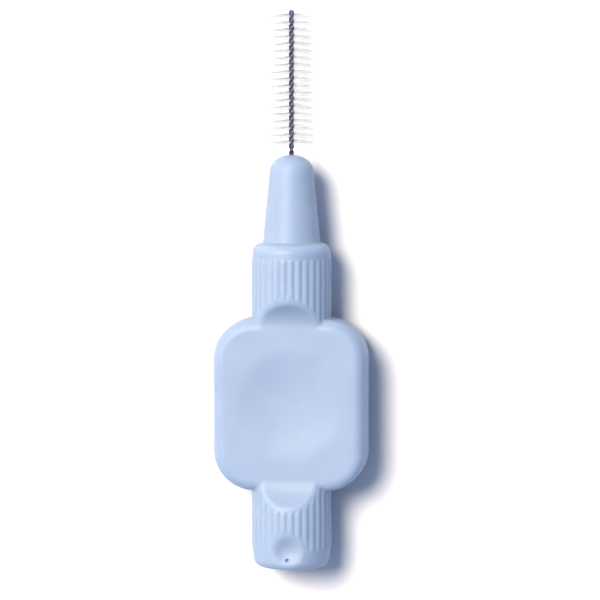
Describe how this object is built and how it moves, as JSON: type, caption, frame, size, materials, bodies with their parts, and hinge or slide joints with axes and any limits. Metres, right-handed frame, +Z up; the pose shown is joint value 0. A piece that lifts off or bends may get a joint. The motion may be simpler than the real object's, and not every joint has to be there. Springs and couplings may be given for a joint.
{
  "type": "interdental brush",
  "caption": "Slim twisted-wire brush with radial bristles, held in a tapered nose on a ribbed handle with a dished thumb plate.",
  "frame": {"origin": "on the surface that the brush lies on, under the middle of its length and its axis", "axes": "+Y along the brush towards the wire's tip, +X across the thumb plate, +Z up out of the plate's front face"},
  "size_m": [0.0164, 0.06, 0.0085],
  "materials": {
    "handle_plastic": "satin moulded polypropylene",
    "wire_steel": "drawn stainless steel",
    "wire_coat": "thin dark plastic coat",
    "bristle_nylon": "translucent nylon filament"
  },
  "bodies": {
    "root": {"handle": "handle_plastic", "wire": "wire_steel", "wire_coating": "wire_coat", "bristle_row_01": "bristle_nylon", "bristle_row_02": "bristle_nylon", "bristle_row_03": "bristle_nylon", "bristle_row_04": "bristle_nylon", "bristle_row_05": "bristle_nylon", "bristle_row_06": "bristle_nylon", "bristle_row_07": "bristle_nylon", "bristle_row_08": "bristle_nylon", "bristle_row_09": "bristle_nylon", "bristle_row_10": "bristle_nylon"}
  },
  "joints": []
}
